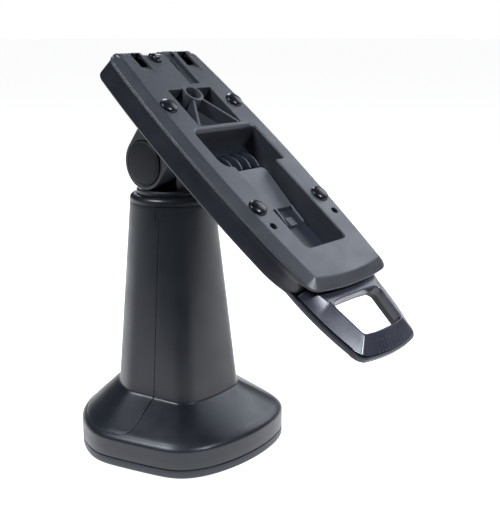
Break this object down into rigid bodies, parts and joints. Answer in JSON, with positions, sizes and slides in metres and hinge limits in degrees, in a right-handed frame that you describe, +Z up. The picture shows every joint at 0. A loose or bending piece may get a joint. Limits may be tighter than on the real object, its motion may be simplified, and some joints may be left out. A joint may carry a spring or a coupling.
{
  "type": "payment terminal stand",
  "caption": "Counter-top pole stand for a card payment terminal: weighted foot, tapering column, swivel and tilt head, cradle with a pull-out release handle.",
  "frame": {"origin": "pole axis at the underside of the rubber foot pad, centre of the cable hole", "axes": "+Z up along the pole, -Y towards the user, X across"},
  "size_m": [0.144, 0.2519, 0.2781],
  "materials": {
    "rubber": "matt",
    "foot_plastic": "satin moulded",
    "plated_steel": "zinc plated",
    "fastener_steel": "plated",
    "column_plastic": "satin moulded",
    "ring_plastic": "satin moulded",
    "washer_polymer": "smooth",
    "head_plastic": "satin moulded",
    "cap_plastic": "fine grain",
    "tray_plastic": "satin moulded",
    "face_plastic": "fine grain",
    "black_screw": "gloss black",
    "handle_plastic": "satin moulded",
    "slider_plastic": "fine grain"
  },
  "bodies": {
    "base": {"foot_pad": "rubber", "foot_plate": "foot_plastic", "counterweight": "plated_steel", "mast_tube": "plated_steel", "mast_flange": "plated_steel", "foot_screws": "fastener_steel", "column_shell": "column_plastic", "rear_cover": "column_plastic", "cover_screws": "fastener_steel", "top_ring": "ring_plastic", "thrust_washer": "washer_polymer"},
    "swivel": {"swivel_neck": "head_plastic", "stop_pin": "fastener_steel", "lock_washer": "fastener_steel", "swivel_nut": "fastener_steel", "friction_washers": "washer_polymer"},
    "cradle": {"tilt_bracket": "head_plastic", "tilt_bolt": "fastener_steel", "tilt_nut": "fastener_steel", "end_cap_left": "cap_plastic", "end_cap_right": "cap_plastic", "bracket_screws": "fastener_steel", "cradle_tray": "tray_plastic", "cradle_cover": "face_plastic", "tray_screws": "fastener_steel", "terminal_screws": "black_screw", "hook_stud": "black_screw", "spring_left": "fastener_steel", "spring_right": "fastener_steel"},
    "release": {"release_handle": "handle_plastic", "release_slider": "slider_plastic", "handle_screws": "fastener_steel"}
  },
  "joints": [
    {"name": "swivel_turn", "type": "hinge", "parent": "base", "child": "swivel", "pos_m": [0, 0, 0.177], "axis": [0, 0, 1], "range_deg": [-165, 165]},
    {"name": "tilt_turn", "type": "hinge", "parent": "swivel", "child": "cradle", "pos_m": [0, 0.0025, 0.2051], "axis": [1, 0, 0], "range_deg": [-37.3, 27]},
    {"name": "release_slide", "type": "slide", "parent": "cradle", "child": "release", "axis": [0, -0.7955, -0.606], "range_m": [0, 0.006], "stiffness_N_per_m": 900, "springref_m": -0.004, "deforming": ["spring_left", "spring_right"]}
  ]
}
